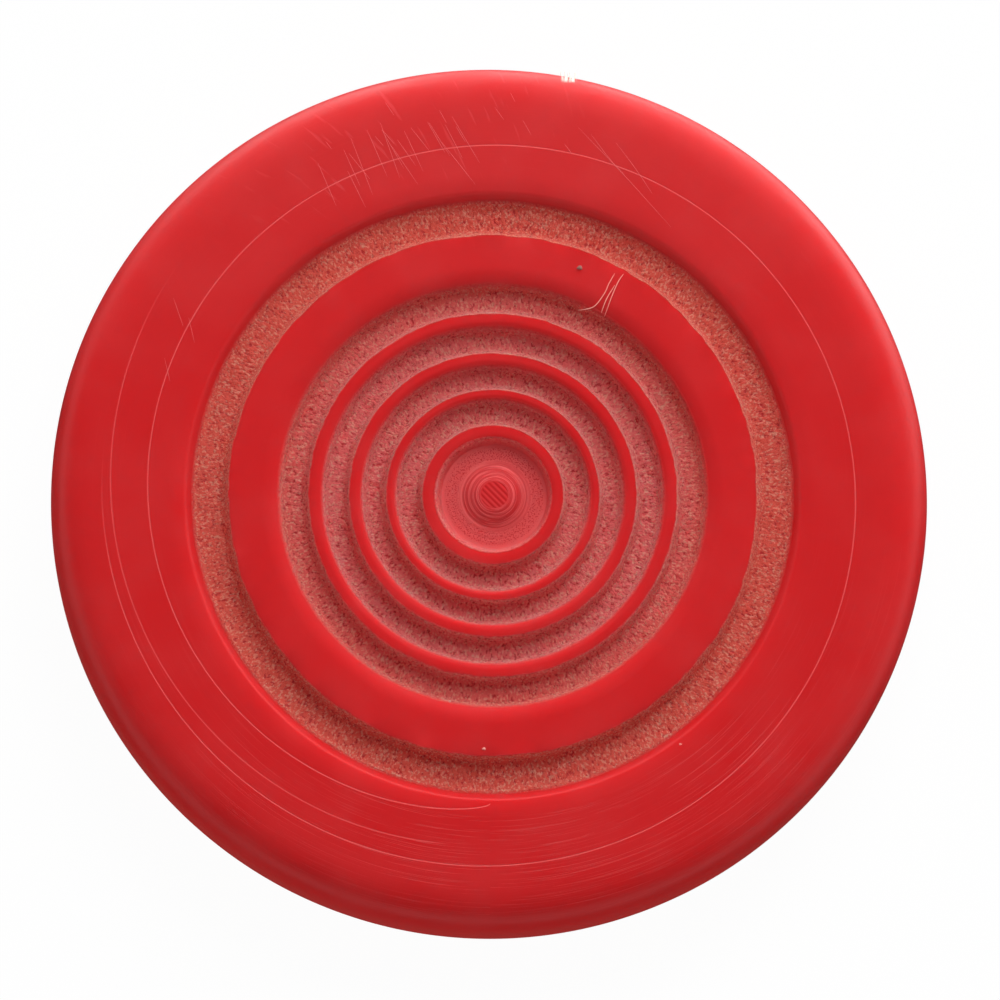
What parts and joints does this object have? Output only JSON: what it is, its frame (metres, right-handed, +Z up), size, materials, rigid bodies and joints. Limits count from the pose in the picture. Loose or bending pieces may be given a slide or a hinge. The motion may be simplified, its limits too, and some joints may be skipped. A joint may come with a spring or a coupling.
{
  "type": "carrom striker",
  "caption": "Flat round game disc of turned red plastic with a rounded rim, concentric ring grooves, a wide outer groove and a small recessed centre cone.",
  "frame": {"origin": "centre of the underside, on the surface that the disc slides on", "axes": "+Z up along the disc's axis, out of the grooved upper face; X and Y lie in the underside"},
  "size_m": [0.0412, 0.0412, 0.0054],
  "materials": {
    "red_plastic": "satin, with rough-cut, paler groove floors"
  },
  "bodies": {
    "root": {"striker_disc": "red_plastic"}
  },
  "joints": []
}
